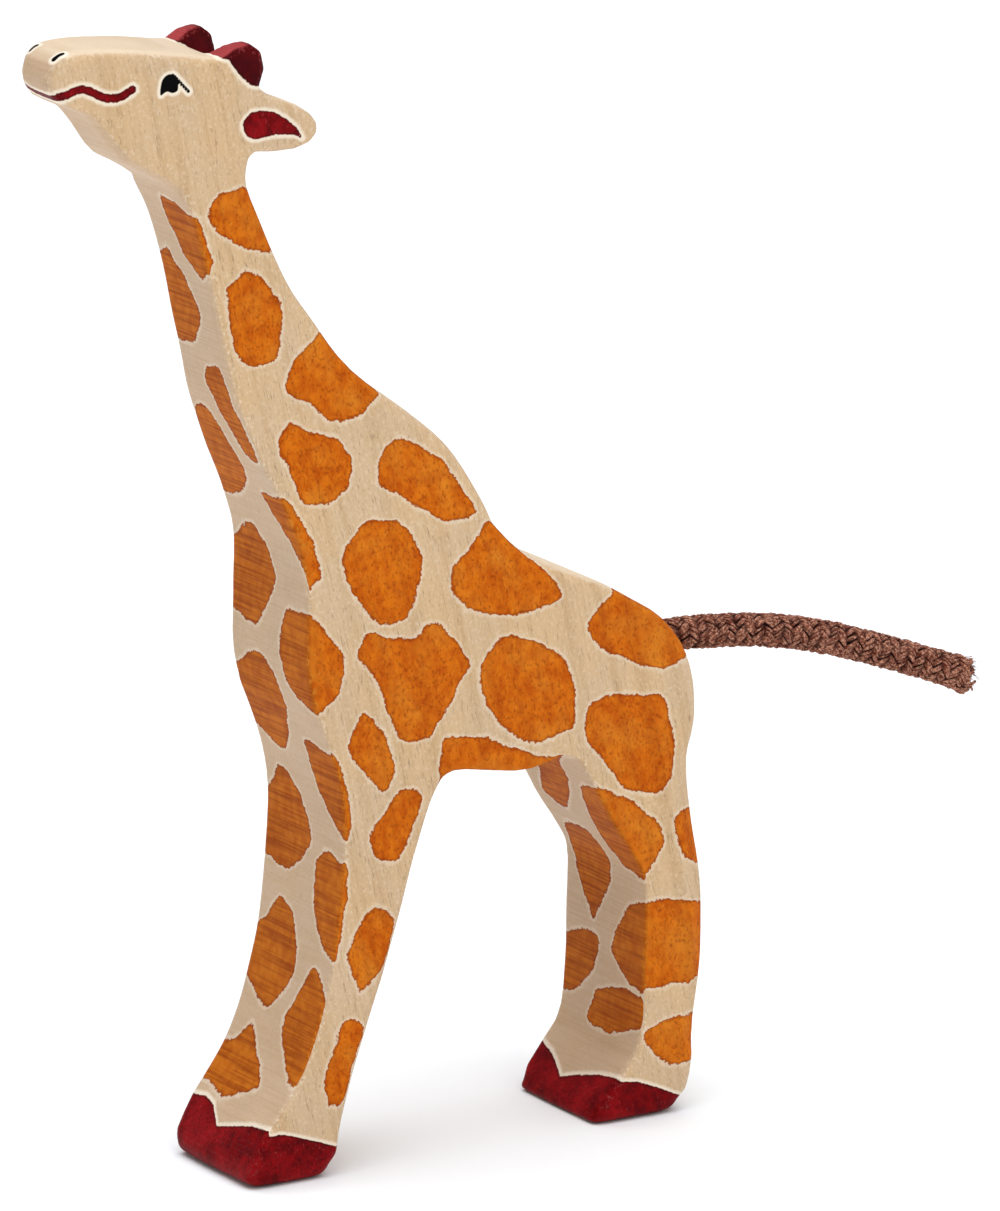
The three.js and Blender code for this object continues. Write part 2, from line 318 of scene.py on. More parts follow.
def braid(start, end, frayed):
    # The strands of one stretch of the braid, each with its own tone, and the core inside them
    look = tailLook
    verts, faces, tones = [], [], []
    radius = look["yarnRadius"]
    sides = look["yarnSides"]
    middle = look["diameter"] / 2 - radius - 0.5 * look["wave"]
    for way in (1, -1):
        for carrier in range(look["carriers"]):
            drift = random.uniform(0, fullTurn)
            first = 2 * math.pi * carrier / look["carriers"]
            slant = look["slant"] * math.sin(first + way * 2 * math.pi * end / look["pitch"])
            for yarn in range(look["yarns"]):
                wander = random.uniform(0, fullTurn)
                thick = random.uniform(*look["yarnSizes"])
                cut = random.uniform(*look["frayedEnds"]) * look["frayed"] + slant if frayed else 0
                last = end + cut
                shift = (yarn - (look["yarns"] - 1) / 2) * radius * look["yarnGap"] / middle
                steps = int((last - start) / look["yarnStep"])
                lengths = [start + (last - start) * i / steps for i in range(steps + 1)]
                centres, outward, radii = [], [], []
                for s in lengths:
                    spot, side, up, along = tailPath.at(min(s, end))
                    turn = way * 2 * math.pi * s / look["pitch"] + first
                    # Each strand goes over two and under two, which makes rows of chevrons
                    crossing = math.pi * s * look["carriers"] / look["pitch"] + math.pi / 4
                    crossing += stray("crossing", s, drift)
                    lift = look["wave"] * math.sin(crossing) * way
                    angle = turn + shift + stray("sway", s, wander + drift)
                    out = side * math.cos(angle) + up * math.sin(angle)
                    beyond = max(0.0, s - end)
                    reach = middle + lift + stray("lumps", s, wander)
                    reach *= braidSwell(min(s, end), look["freeLength"])
                    reach += beyond * look["frayedSpread"] * math.sin(wander)
                    centres.append(spot + out * reach + along * beyond)
                    outward.append(out)
                    taper = 1 - look["frayedTaper"] * beyond / look["frayed"]
                    radii.append(radius * thick * (1 + stray("plies", s, wander)) * taper)
                sweptTube(centres, radii, sides, verts, faces, look["yarnFlatness"], outward)
                # Each yarn's tone: a dye tone of its own, with stripes of painted shade winding along the
                # grooves between its plies
                shade = random.random()
                for s in lengths:
                    for k in range(sides):
                        twist = 2 * math.pi * (s / look["twist"] + k / sides)
                        tones.append(shade + look["plyGrooveShade"] * math.sin(twist + wander))
    coreLengths = np.linspace(start, end, look["coreSteps"] + 1)
    core = [tailPath.spot(s) for s in coreLengths]
    sweptTube(core, middle - look["coreGap"], look["coreSides"], verts, faces)
    tones.extend([0.0] * (len(verts) - len(tones)))
    return verts, faces, tones


def looseFibres(start, end, verts, faces):
    look = fibreLook
    before, past = look["tipZone"]
    for i in range(look["count"]):
        atTip = i % look["tipShare"] == 0
        s = random.uniform(end - before, end + past) if atTip else random.uniform(start, end)
        spot, side, up, along = tailPath.at(min(s, end))
        angle = random.uniform(0, 2 * math.pi)
        out = side * math.cos(angle) + up * math.sin(angle)
        across = np.cross(along, out)
        lean = random.uniform(-look["lean"], look["lean"])
        length = random.uniform(*look["length"]) * mm * (look["tipLength"] if atTip else 1)
        root = random.uniform(*look["tipRoot"]) * mm if atTip else look["root"]
        ahead = along * (look["run"] if atTip else lean) + across * (1 - abs(lean)) * look["run"]
        centres = []
        for k in range(look["steps"] + 1):
            t = k / look["steps"]
            arch = look["arch"] * length * math.sin(t * look["archTurn"])
            rise = out * (tailLook["diameter"] / 2 - root + arch)
            centres.append(spot + rise + ahead * length * t)
        sweptTube(centres, look["radius"], look["sides"], verts, faces)


# Dyed cotton yarn, spun and braided: matt red-brown, with a painted highlight of pale fibres on the
# tops of the strands and painted shade down in the gaps between them. The crown pair is the two depths
# between which the painted highlight on the tops comes in
cordLook = {
    "strand": "#70301B",
    "light": "#D89E82",
    "dark": "#3C0E06",
    # The core colour is painted shade: it darkens the gaps between the strands, down to the core
    "core": "#1E0602",
    "gaps": (-0.42 * mm, 0.06 * mm),  # past the braid's radius, between which the gaps fade
    "crownHighlight": (0.6, 0.05),
    "patterns": {
        "worn": {"size": (2.2, 2.2, 2.2), "lean": 0, "detail": 3, "shows": (0.4, 0.62)},
        "fibres": {"size": (0.34, 0.34, 0.34), "lean": 0, "detail": 4, "shows": (0.42, 0.66)},
        "shade": {"size": (0.9, 0.9, 0.9), "lean": 0, "detail": 3, "shows": (0.46, 0.64)},
    },
}


def braidedCotton():
    material, tree, shader = newMaterial("braided_cotton_dyed_brown")
    shader.inputs["Roughness"].default_value = 0.92
    shader.inputs["Specular IOR Level"].default_value = 0.1
    shader.inputs["Sheen Weight"].default_value = 0.04
    shader.inputs["Sheen Roughness"].default_value = 0.5
    place = addNode(tree, "ShaderNodeTexCoord").outputs["Object"]
    masks = drawPatterns(tree, place, cordLook["patterns"])
    depth = addNode(tree, "ShaderNodeAttribute", {"attribute_name": "depth"}).outputs["Fac"]
    tone = addNode(tree, "ShaderNodeAttribute", {"attribute_name": "tone"}).outputs["Fac"]
    none, full = cordLook["crownHighlight"]
    crownHighlight = addNode(tree, "ShaderNodeMapRange", {"From Min": none, "From Max": full}, {"Value": depth})
    links = {0: crownHighlight.outputs[0], 1: masks["fibres"]}
    pale = addNode(tree, "ShaderNodeMath", {"operation": "MULTIPLY"}, links)
    # Tone is each yarn's dye with painted shade along its plies, the pale coat on the crowns is a painted
    # highlight, and depth lays painted shade in the gaps
    coats = [
        (tone, 0.5, cordLook["dark"]),
        (masks["shade"], 0.55, cordLook["dark"]),
        (pale.outputs[0], 0.78, cordLook["light"]),
        (masks["worn"], 0.12, cordLook["light"]),
        (depth, 0.95, cordLook["core"]),
    ]
    tree.links.new(layCoats(tree, cordLook["strand"], coats), shader.inputs["Base Color"])
    settings = {"Strength": 0.8, "Distance": 0.08 * mm}
    bump = addNode(tree, "ShaderNodeBump", settings, {"Height": masks["fibres"]})
    tree.links.new(bump.outputs[0], shader.inputs["Normal"])
    return material


def setAttribute(obj, name, values):
    attribute = obj.data.attributes.new(name, "FLOAT", "POINT")
    attribute.data.foreach_set("value", np.asarray(values, np.float32))


def depthInBraid(obj):
    # 0 on top of the strands and 1 down in the gaps, where less light gets in
    points = np.array([v.co for v in obj.data.vertices])
    nearest = np.full(len(points), farAway)
    for s in np.linspace(-tailLook["seated"], tailLook["freeLength"], 200):
        nearest = np.minimum(nearest, np.linalg.norm(points - tailPath.spot(s), axis=1))
    low, high = (tailLook["diameter"] / 2 + gap for gap in cordLook["gaps"])
    setAttribute(obj, "depth", 1 - smoothStep(low, high, nearest))


def makeTail():
    cotton = braidedCotton()
    look = tailLook
    joint = look["joint"]
    end = look["freeLength"]
    verts, faces, tones = braid(-joint, end, True)
    looseFibres(fibreLook["clear"], end, verts, faces)
    tones.extend([0.0] * (len(verts) - len(tones)))
    free = newObject("tail_braid", verts, faces, cotton)
    depthInBraid(free)
    setAttribute(free, "tone", tones)
    verts, faces, tones = braid(-look["seated"] + look["bottomGap"], -joint, False)
    seated = newObject("tail_braid_seated", verts, faces, cotton)
    depthInBraid(seated)
    setAttribute(seated, "tone", tones)

    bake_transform(free)
    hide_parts("tail_cord")
    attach(seated, "figure")
    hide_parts("tail_cord_root")


makeTail()
print("tail braided")

# The glue spot: dried wood glue, honey-coloured and slightly glossy
glueLook = {
    "colour": "#D9C48A",
    "dark": "#B89A5A",
    "patterns": {"cloud": {"size": (1.5, 1.5, 1.5), "lean": 0, "detail": 3, "shows": (0.3, 0.7)}},
}


def driedWoodGlue():
    material, tree, shader = newMaterial("dried_wood_glue")
    shader.inputs["Roughness"].default_value = 0.35
    place = addNode(tree, "ShaderNodeTexCoord").outputs["Object"]
    cloud = drawPatterns(tree, place, glueLook["patterns"])["cloud"]
    colour = layCoats(tree, glueLook["colour"], [(cloud, 1.0, glueLook["dark"])])
    tree.links.new(colour, shader.inputs["Base Color"])
    bump = addNode(tree, "ShaderNodeBump", {"Strength": 0.4, "Distance": 0.1 * mm}, {"Height": cloud})
    tree.links.new(bump.outputs[0], shader.inputs["Normal"])
    return material


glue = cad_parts["tail_glue"]
glue.data.materials.clear()
glue.data.materials.append(driedWoodGlue())

# Where the paint goes, in millimetres: along X from the drawing's belly line, across the plank
# and up. Side outlines are (X, height), front ones are (across, height) with the right side
# negative. An outline that goes past an edge wraps round it.
bellyLine = 23.76  # its place in the frame, along X
sideSpots = [
    [(-51, 147.7), (-46.2, 148), (-43.5, 145), (-40.6, 139.2), (-43.3, 137.9), (-49, 140.1),
     (-52.9, 143.5), (-52.6, 146.1)],
    [(-46.9, 135.8), (-44.2, 134.4), (-41.2, 130.4), (-41, 126.5), (-42, 122.3), (-46.8, 121.8),
     (-49, 125.3), (-49.9, 131.6), (-49.7, 133.6)],
    [(-35.8, 124.4), (-39.8, 121.2), (-40.5, 117.2), (-36.5, 114.9), (-34, 112.5), (-31.5, 112),
     (-27.7, 113), (-24.6, 116), (-28.2, 121.5), (-33, 125.8)],
    [(-40.1, 113.2), (-37.1, 111.3), (-32.5, 109.6), (-30.3, 106.4), (-31.1, 102.8), (-34.1, 100.8),
     (-37.9, 100.7), (-39.4, 102.2), (-40.3, 105.3), (-42.1, 108.7), (-41.9, 110.9)],
    [(-21.9, 108.4), (-15.5, 104.7), (-12, 99.5), (-10.3, 96.2), (-15.4, 95.4), (-22.2, 99.8),
     (-26, 102.2), (-26.1, 104.6), (-25.2, 106.8)],
    [(-28.7, 97.2), (-24.2, 96.7), (-21.7, 95.1), (-19.8, 90.9), (-20.9, 85.7), (-22.8, 82.4),
     (-27.5, 82), (-31.5, 87.1), (-33.1, 91.3), (-32.4, 94.2)],
    [(-8.5, 94.5), (-5, 93.6), (-1.5, 89), (1.3, 85.7), (3.7, 81.8), (-4.3, 80.1), (-12.4, 82.4),
     (-15, 85.6), (-14.7, 88.8), (-12, 90.7)],
    [(-29.4, 81.1), (-26, 79.9), (-21.5, 79.4), (-19.6, 80.8), (-17, 80.7), (-12.2, 74.6),
     (-13.4, 71.8), (-17.8, 65.2), (-19.2, 63.9), (-24.2, 64.7), (-28.2, 74.4), (-31.1, 77.5)],
    [(-7, 77.2), (-3.4, 76.8), (2.5, 74), (4.9, 70.8), (5.8, 66.6), (5.3, 61.9), (-1.5, 60.6),
     (-5.6, 63), (-8.9, 66.8), (-10.4, 71.4), (-9.7, 74.4)],
    [(-30.4, 68.9), (-28.2, 67.8), (-26.1, 64.8), (-24.9, 60), (-25.9, 57.3), (-27.3, 57.3),
     (-32.3, 63.5), (-32.4, 65.7)],
    [(-16.3, 63.4), (-9.2, 62.6), (-5.8, 60.8), (-1.4, 58.9), (3.8, 57.6), (2, 55), (-8, 54),
     (-16.2, 55), (-17.2, 59.6)],
    [(12.4, 81.3), (15, 83.5), (23.5, 78.5), (27.5, 71.5), (24.9, 69.6), (20.3, 68.5), (14.2, 71.2),
     (10.1, 73.1), (8, 76.3), (8.5, 78.4)],
    [(12.5, 65.8), (20.4, 64.7), (22.2, 61.5), (22.9, 56.7), (22.6, 52.2), (19.8, 49.8), (14.6, 51.2),
     (11.3, 55.5), (8.1, 59.5), (7.4, 63.1), (8.6, 65.2)],
    [(-21.7, 56.7), (-20.2, 54.5), (-23.9, 46.6), (-27, 46.6), (-28.6, 48.4), (-28.6, 51.1), (-24.4, 56.3)],
    [(-27, 39.6), (-24.8, 37.3), (-25.3, 34.1), (-27, 30.2), (-30.7, 27.5), (-32.9, 33.4), (-29.7, 39.1)],
    [(-32.1, 23.6), (-30.1, 22), (-31.1, 18.4), (-33.5, 11.5), (-36.2, 11.2), (-36.7, 15.1), (-34, 22.7)],
    [(-58, 146), (-55, 144.5), (-53.6, 141.5), (-52.3, 138.2), (-52.9, 136), (-56, 135)],
    [(-45, 103), (-42, 102.5), (-39, 98.5), (-37.3, 94), (-36.8, 90.5), (-38, 89.3), (-41, 89)],
    [(-42, 85), (-38.8, 84.8), (-36.2, 82.2), (-33.6, 78.7), (-33.1, 75.8), (-34.4, 72.4), (-37.8, 70),
     (-42, 70)],
    [(-38, 64), (-35.2, 63.6), (-33.7, 60.8), (-32.5, 56.9), (-32.3, 50.8), (-36, 50)],
    [(-36, 47.5), (-33.3, 47), (-32.8, 45.7), (-32.9, 42.4), (-33.9, 36.8), (-35, 33), (-38, 32.5)],
    [(23.8, 46.2), (26.6, 46.6), (31, 45.5), (32, 38.4), (28, 38), (24.6, 39.5), (23.1, 43.9)],
    [(8, 53), (11, 51.5), (16.7, 48.5), (20.7, 44.4), (21.2, 41.9), (19.2, 39), (17.5, 37), (14, 38),
     (6, 52)],
    [(15, 32.5), (20.4, 33.6), (27, 32.2), (32, 30.5), (32.3, 20), (28.3, 20.3), (25.4, 19.9),
     (18, 20.2), (14, 20.5)],
    [(21.5, 14.8), (24.9, 14.9), (31, 14.5), (30.5, 7.5), (26.3, 7.6), (22.4, 7.7), (19.8, 10), (17.6, 12.9)],
]
frontSpots = [
    [(0.2, 146.5), (-3.5, 146.2), (-6.3, 144.8), (-9.5, 144.4), (-9.5, 136), (-6.5, 135.7),
     (-4.7, 134.7), (-0.9, 137.9), (1.5, 143.6)],
    [(4, 138.2), (6.3, 136.6), (9.5, 136), (9.5, 124), (6.9, 123.9), (2.3, 123.8), (-0.8, 126.6),
     (-1.7, 129), (0.5, 133.8), (2.7, 136.1)],
    [(-0.8, 120.9), (-4.4, 121.2), (-6.4, 114.4), (-7.6, 107.8), (-4.2, 108.1), (-0.1, 116.3), (1, 118.5)],
    [(6.5, 113.3), (2.6, 114), (-1, 107.4), (-1.4, 104.5), (2.4, 100.9), (6.3, 99.4), (11, 100),
     (11, 107), (8.2, 110)],
    [(3.5, 96.1), (0.7, 93.4), (-1.8, 88.4), (0.7, 84.3), (4.1, 80.1), (9.3, 81.1), (13, 82), (13, 90),
     (8, 93.5)],
    [(-3.6, 101.7), (-8.9, 102.3), (-12, 102.5), (-13, 96), (-13, 89), (-10.5, 90.3), (-5, 98.4)],
    [(-5.2, 84.6), (-10.5, 84.8), (-14, 84.9), (-14, 70), (-9.7, 70.1), (-5.6, 72.1), (-3.4, 75.2),
     (-2.7, 79.1), (-3.8, 82.9)],
    [(4.7, 76.3), (1.9, 75.9), (-0.7, 73.6), (-1.9, 69), (3.2, 61.3), (5.8, 60.7), (9.3, 62.8),
     (13.5, 64), (13.5, 71), (9.5, 73.5)],
    [(-3.4, 64.3), (-10, 63.6), (-14, 63.8), (-14, 50), (-10.9, 50.3), (-7.5, 53.2), (-3.8, 57.5)],
    [(7, 57.7), (4.3, 57), (1.4, 54.3), (-1.4, 49.7), (-1.8, 48.1), (0.9, 44.6), (4.9, 42.4),
     (8.7, 43.1), (13, 44.5), (13, 52), (10, 54)],
    [(-6.4, 48), (-10.5, 46.9), (-14, 47.4), (-14, 32.3), (-10.3, 32.6), (-7.3, 34.1), (-4.1, 38.8),
     (-3.6, 45.2)],
    [(5.5, 38.1), (1.8, 36.9), (-1.5, 30.8), (-0.7, 26.5), (3.4, 22.5), (8, 23.9), (13, 26.9),
     (13, 31.5), (9, 34.5)],
    [(-6.2, 30.6), (-9.1, 29), (-11.5, 26.5), (-12.8, 22), (-12.8, 14), (-11.1, 14.3), (-7, 16),
     (-2.9, 19.5), (-2.1, 22.4), (-4, 26.9)],
    [(5.7, 19.8), (2.1, 16.8), (-3.1, 13.1), (-0.7, 11.3), (3.8, 9.8), (8.6, 10.6), (13, 11.5),
     (13, 15.5), (9, 16.5)],
]
hindFrontSpots = [
    [(-13, 58.5), (-3.4, 54.8), (-3.2, 51.3), (2.2, 45.4), (5, 45), (8, 47), (4, 53), (0, 58.5)],
    [(-7, 51.5), (-11.3, 51.9), (-14, 52), (-14, 37), (-8, 37.2), (-5.8, 37.6), (-3.5, 41.3), (-5.1, 49)],
    [(7.4, 41.6), (0.8, 42), (-1.7, 38.2), (-0.9, 33.7), (3.1, 27.4), (4.3, 27.9), (6.9, 31.7), (9.2, 37.7)],
    [(-7, 32), (-14, 33.2), (-14, 20), (-7.9, 19.7), (-2.1, 23.1), (-2.8, 26.5)],
    [(13, 22.4), (8.3, 24.1), (6.1, 25), (2.5, 25), (1.6, 23.8), (3.2, 19.1), (7.5, 15.1), (13, 14.8)],
    [(-1.1, 17.9), (-5.2, 18.8), (-10.8, 18.4), (-11.6, 15.6), (-9.6, 13.4), (-2.8, 11.3), (2.1, 11.5),
     (3.4, 12.2), (2, 16.2)],
]
# Spots on the left side, each as its middle and half its width and height
leftSpots = [
    (-46, 145.5, 4.6, 3.9), (-51.4, 130.5, 3.4, 6.2), (-42.6, 128, 3.6, 5), (-35, 119.5, 4.8, 4.3),
    (-44.4, 105.5, 3.6, 5.6), (-35.4, 107.5, 3.8, 5.4), (-23.6, 108.5, 5, 4.4), (-39.4, 86.5, 3.8, 5.2),
    (-29.6, 94.8, 5, 5.4), (-17.4, 97, 5, 4.8), (-6.4, 90.5, 6, 4.6), (-27.6, 80.6, 5.6, 4.9),
    (-16, 83.6, 5.2, 5), (-2.2, 78.8, 6, 4.4), (9, 79.6, 4.8, 4.2), (20.4, 73.4, 5.6, 5),
    (-36.6, 67.5, 3.6, 4.2), (-25.4, 67.4, 4.6, 5), (-12.6, 70, 5.2, 5.4), (-1.4, 66.4, 5, 4.8),
    (9.6, 67.8, 5, 5.2), (19.6, 60.4, 5.6, 5.2), (-10.2, 58.4, 5, 3.2), (-33.6, 48.4, 3.2, 4.4),
    (-25.2, 50.4, 3.2, 4.8), (-28.2, 36, 3.4, 5), (-36.2, 29.2, 3, 3.6), (-33.6, 18.4, 2.6, 4.8),
    (-42.2, 13.6, 3, 2.6), (12.6, 53, 4.2, 4.4), (22.6, 47.4, 4, 4), (19.2, 36.4, 3.8, 4.6),
    (27.4, 35, 3.4, 4), (17.8, 18.6, 3.6, 4), (26.2, 24, 4, 4.6), (23, 12, 3.6, 3.2),
]
innerEar = [
    (-47.6, 157.4), (-46.3, 158.9), (-44.4, 159), (-42.4, 158.5), (-40.6, 157.4), (-38.9, 155.9),
    (-37.9, 154.2), (-39.2, 154.8), (-42.5, 155.2), (-45.6, 154.9), (-47.1, 155.7),
]
hornPaint = [
    (-51.4, 167.6), (-49.9, 166.9), (-49.4, 166.1), (-47.9, 164.2), (-46.4, 162.9), (-44.9, 162.5),
    (-42, 161.8), (-40, 166), (-42, 172), (-52, 172),
]
eyeOutline = [
    (-60.5, 162.7), (-60.5, 164.4), (-60.1, 165.4), (-59.2, 165.9), (-58.3, 165.5), (-57.8, 164.7),
    (-57.7, 163.3), (-58.6, 162.9), (-59.5, 163.2),
]
lash = [(-58.6, 165.6), (-57.6, 164.6), (-56.2, 163)]
mouthSide = [
    (-78, 163.6), (-75, 163.8), (-72.9, 164.6), (-71.3, 164.5), (-69.7, 163.6), (-68.3, 163.1),
    (-66.7, 163.1), (-65.4, 163.7), (-64.8, 164.1),
]
mouthFront = [(6, 164), (3, 164), (0.9, 163.5), (-2.4, 163.4), (-6, 163.7)]
nostrils = [[(-75.3, -3.3, 168.9), (-74.1, -3.6, 169.5)], [(-75.2, 3.4, 168.9), (-74.4, 3.1, 169.5)]]
# How high the paint of the hooves reaches: (across, height) in front, and (X, height) on the side
frontHoofLine = [(-10.5, 8.7), (-6.6, 8.4), (-2.6, 7.4), (1.3, 6.4), (4.6, 8.6), (7.4, 9.1), (10.4, 8.7)]
frontHoofSide = [(-44, 8), (-42.6, 7.6), (-37.9, 5.9), (-34.9, 4.7), (-30, 4.4)]
hindHoofLine = [(-9.6, 6.7), (-6.4, 6.3), (-1.3, 5.1), (1.9, 4.1), (4.8, 5.4), (6.9, 6.2), (10.5, 7)]
hindHoofSide = [(12, 6.6), (13.8, 6.5), (16.9, 6), (20.5, 4.5), (24.4, 2.6), (28, 2.4)]

# Half the wood's thickness: (height, half) up the neck, then (X, half) along the head, and the
# height from which the head's counts
neckTaper = [(0, 11.4), (84, 11.4), (96, 10.3), (108, 8.6), (120, 7.5), (138, 7.3), (150, 8), (162, 8.6)]
headTaper = [(-77, 3.7), (-74.5, 5.1), (-60, 7.8), (-47, 8.6)]
headStart = 140

# Where paint may be, in the same millimetres, and half the width of each brushed line
paintPlaces = {
    "legDivide": -20,  # X between the spots of the front leg and of the hind leg
    "hoofDivide": -15,
    "spotTop": 149.5,
    "hornOut": 3.2,  # from the middle of the plank
    "earOut": 6,
    "mouthFrom": (-60, 155),
    "lipTurn": -72,  # X where the mouth turns on to the front
    "lipSide": 0.62,
    "lipFront": 0.45,
    "lash": 0.32,
    "nostril": 0.5,
    "sideways": (0.5, 0.8),  # how far the wood faces sideways, from an edge to a side
    "forwards": -0.25,
    "reach": 3.0,  # how far from its edge the depth inside a paint is worked out
}
bare = -paintPlaces["reach"]  # the depth that stands for no paint


def closedCurve(points, roundness=0.3, steps=4):
    # A closed line through the points. Roundness 0 gives straight sides, and 0.5 full curves
    p = np.array(points, float)
    out = []
    for i in range(len(p)):
        a, b, c, d = p[i - 1], p[i], p[(i + 1) % len(p)], p[(i + 2) % len(p)]
        leave, arrive = roundness * (c - a), roundness * (d - b)
        for k in range(steps):
            t = k / steps
            bend = leave * (t**3 - 2 * t**2 + t) + arrive * (t**3 - t**2)
            out.append(b + (c - b) * (3 * t**2 - 2 * t**3) + bend)
    return np.array(out)


def distanceToLine(points, line):
    nearest = np.full(len(points), farAway)
    for a, b in zip(line[:-1], line[1:]):
        ab = b - a
        t = np.clip((points - a) @ ab / max(ab @ ab, 1e-9), 0, 1)
        nearest = np.minimum(nearest, np.linalg.norm(points - a - t[:, None] * ab, axis=1))
    return nearest


def depthInOutline(points, outline):
    # How far inside the outline each point is, in millimetres, and negative outside it
    reach = paintPlaces["reach"]
    depth = np.full(len(points), bare)
    low, high = outline.min(0) - reach, outline.max(0) + reach
    near = np.all((points > low) & (points < high), axis=1)
    if not near.any():
        return depth
    p = points[near]
    inside = np.zeros(len(p), bool)
    ring = np.vstack([outline, outline[:1]])
    for (ax, az), (bx, bz) in zip(ring[:-1], ring[1:]):
        crosses = (az > p[:, 1]) != (bz > p[:, 1])
        atX = ax + (p[:, 1] - az) * (bx - ax) / (bz - az if bz != az else 1e-9)
        inside ^= crosses & (p[:, 0] < atX)
    distance = distanceToLine(p, ring)
    depth[near] = np.clip(np.where(inside, distance, -distance), -reach, reach)
    return depth


def deepest(points, outlines):
    depth = np.full(len(points), bare)
    for outline in outlines:
        depth = np.maximum(depth, depthInOutline(points, outline))
    return depth


def roughOval(x, z, halfWidth, halfHeight):
    # A hand-painted spot: an oval with a few flattened and drawn-out places
    corners = 9
    turn = dice.uniform(0, fullTurn)
    out = []
    for i in range(corners):
        angle = 2 * math.pi * i / corners + turn
        stretch = dice.uniform(0.9, 1.2)
        across = halfWidth * stretch * math.cos(angle)
        up = halfHeight * stretch * math.sin(angle)
        out.append((x + across, z + up))
    return closedCurve(out)


def halfThickness(x, z):
    neck = np.interp(z, *zip(*neckTaper))
    head = np.interp(x, *zip(*headTaper))
    return np.where(z > headStart, np.minimum(neck, head), neck)


# The wood: how finely it is carved, and how far the knife strayed from the drawing
woodShape = {
    "voxel": 0.34 * mm,
    "smoothing": 0.5,
    "smoothRounds": 6,
    "knife": 0.05 * mm,  # depth of the waves
    "waves": 14,
    "waveLengths": (7, 22),  # in millimetres
    "soleRounds": 44,
    "soleRounding": (1.4 * mm, 4.0 * mm),  # heights between which the rounding fades out
    "edgeRounds": 6,
    "edgeRise": 0.13,  # how far in millimetres a sharp edge stands out of its rounded shape
}


def carvedMesh():
    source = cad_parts["carved_body"].data.copy()
    rough = bpy.data.objects.new("rough", source)
    bpy.context.collection.objects.link(rough)
    remesh = rough.modifiers.new("voxels", "REMESH")
    remesh.mode = "VOXEL"
    remesh.voxel_size = woodShape["voxel"]
    smooth = rough.modifiers.new("rounded", "SMOOTH")
    smooth.factor = woodShape["smoothing"]
    smooth.iterations = woodShape["smoothRounds"]
    graph = bpy.context.evaluated_depsgraph_get()
    mesh = bpy.data.meshes.new_from_object(rough.evaluated_get(graph))
    bpy.data.objects.remove(rough)
    return mesh


def meshArrays(mesh):
    points = np.empty(len(mesh.vertices) * 3)
    mesh.vertices.foreach_get("co", points)
    normals = np.empty(len(mesh.vertices) * 3)
    mesh.vertex_normals.foreach_get("vector", normals)
    return points.reshape(-1, 3), normals.reshape(-1, 3)


def knifeMarks(points, normals):
    # Shallow waves left by the knife and the sanding
    look = woodShape
    drift = np.zeros(len(points))
    for _ in range(look["waves"]):
        direction = dice.normal(size=3)
        direction /= np.linalg.norm(direction)
        wave = dice.uniform(*look["waveLengths"]) * mm
        drift += np.sin(points @ direction * 2 * math.pi / wave + dice.uniform(0, fullTurn))
    drift *= look["knife"] / math.sqrt(look["waves"] / 2)
    return points + normals * drift[:, None]


def softened(mesh, points, rounds):
    # Every point moved to the middle of its neighbours, as often as rounds says
    ends = np.empty(len(mesh.edges) * 2, int)
    mesh.edges.foreach_get("vertices", ends)
    a, b = ends.reshape(-1, 2).T
    size = len(points)
    soft = points.copy()
    count = np.bincount(a, minlength=size) + np.bincount(b, minlength=size)
    for _ in range(rounds):
        total = np.zeros_like(soft)
        for axis in range(3):
            total[:, axis] = np.bincount(a, soft[b, axis], size)
            total[:, axis] += np.bincount(b, soft[a, axis], size)
        soft = total / count[:, None]
    return soft


def roundedSoles(mesh, points):
    # The lower edges of the hooves are rounded over, and the soles stay flat
    low, high = woodShape["soleRounding"]
    soft = softened(mesh, points, woodShape["soleRounds"])
    nearSole = 1 - smoothStep(low, high, points[:, 2])
    return points + (soft - points) * nearSole[:, None]


def edgeSharpness(mesh, points, normals):
    # How convex the wood is at each point: 0 on the flats, and 1 on its sharp edges, which are painted
    # lighter, as wear and as a painted highlight
    soft = softened(mesh, points, woodShape["edgeRounds"])
    rise = ((points - soft) * normals).sum(1) / mm
    return np.clip(rise / woodShape["edgeRise"], -1, 1)


def hoofTop(x, y, isSide, isFront, frontLine, sideLine):
    onSide = np.interp(x, *zip(*sideLine))
    onEdge = np.where(isFront, np.interp(y, *zip(*frontLine)), onSide)
    return isSide * onSide + (1 - isSide) * onEdge


